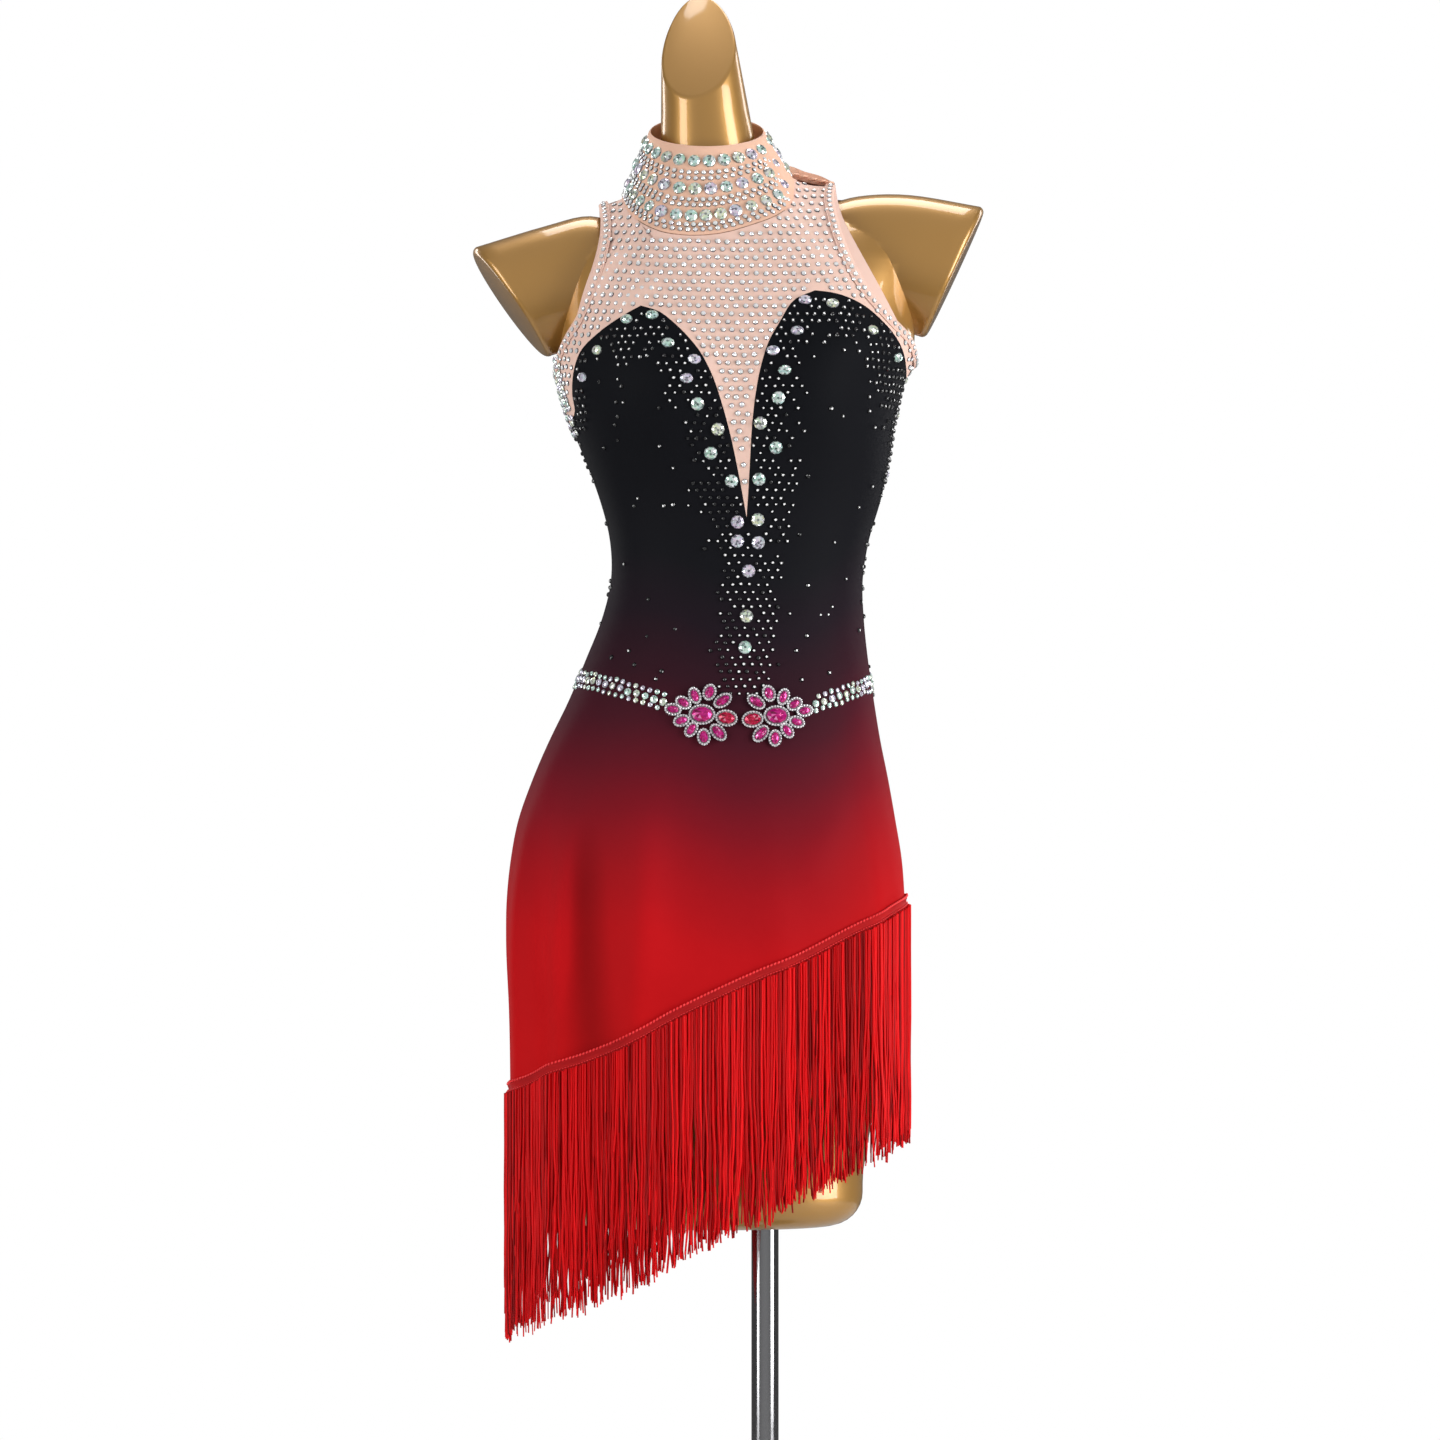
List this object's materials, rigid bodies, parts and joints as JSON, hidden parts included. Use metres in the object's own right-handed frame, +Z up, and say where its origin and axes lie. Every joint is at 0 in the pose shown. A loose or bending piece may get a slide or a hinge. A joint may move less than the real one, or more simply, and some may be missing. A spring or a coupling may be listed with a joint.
{
  "type": "dance dress on a dress form",
  "caption": "Sleeveless Latin dance dress with a stoned collar, mesh yoke, deep V and slanted fringe hem, worn by a limbless glossy dress form on a pole and round base.",
  "frame": {"origin": "centre of the base plate's underside", "axes": "+Z up along the pole, -Y out of the front of the dress, +X towards the wearer's left"},
  "size_m": [0.4382, 0.36, 1.5809],
  "materials": {
    "stretch_cloth": "matte stretch cloth, black above running to red at the hem",
    "nude_mesh": "matte stretch mesh",
    "collar_cloth": "satin",
    "red_fringe": "soft chainette",
    "clear_stone": "foiled and faceted",
    "ruby_brooch": "foiled and faceted, in a silver setting",
    "gold_gloss": "metallic gloss paint",
    "dark_chrome": "polished"
  },
  "bodies": {
    "root": {"front_panel": "stretch_cloth", "back_panel": "stretch_cloth", "front_yoke": "nude_mesh", "back_yoke": "nude_mesh", "binding_left": "nude_mesh", "binding_right": "nude_mesh", "collar": "collar_cloth", "button_1": "collar_cloth", "button_2": "collar_cloth", "button_3": "collar_cloth", "fringe_front": "red_fringe", "fringe_back": "red_fringe", "belt_left": "clear_stone", "belt_right": "clear_stone", "belt_back": "clear_stone", "brooch_left": "ruby_brooch", "brooch_right": "ruby_brooch", "cup_stone_1": "clear_stone", "cup_stone_2": "clear_stone", "cup_stone_3": "clear_stone", "cup_stone_4": "clear_stone", "cup_stone_5": "clear_stone", "cup_stone_6": "clear_stone", "cup_stone_7": "clear_stone", "cup_stone_8": "clear_stone", "cup_stone_9": "clear_stone", "cup_stone_10": "clear_stone", "cup_stone_11": "clear_stone", "cup_stone_12": "clear_stone", "cup_stone_13": "clear_stone", "cup_stone_14": "clear_stone", "cup_stone_15": "clear_stone", "cup_stone_16": "clear_stone", "cup_stone_17": "clear_stone", "cup_stone_18": "clear_stone", "cup_stone_19": "clear_stone", "cup_stone_20": "clear_stone", "cup_stone_21": "clear_stone", "cup_stone_22": "clear_stone", "cup_stone_23": "clear_stone", "cup_stone_24": "clear_stone", "cup_stone_25": "clear_stone", "cup_stone_26": "clear_stone", "cup_stone_27": "clear_stone", "cup_stone_28": "clear_stone", "cup_stone_29": "clear_stone", "dress_form": "gold_gloss", "pole": "dark_chrome", "base_hub": "dark_chrome", "base_plate": "dark_chrome"}
  },
  "joints": []
}
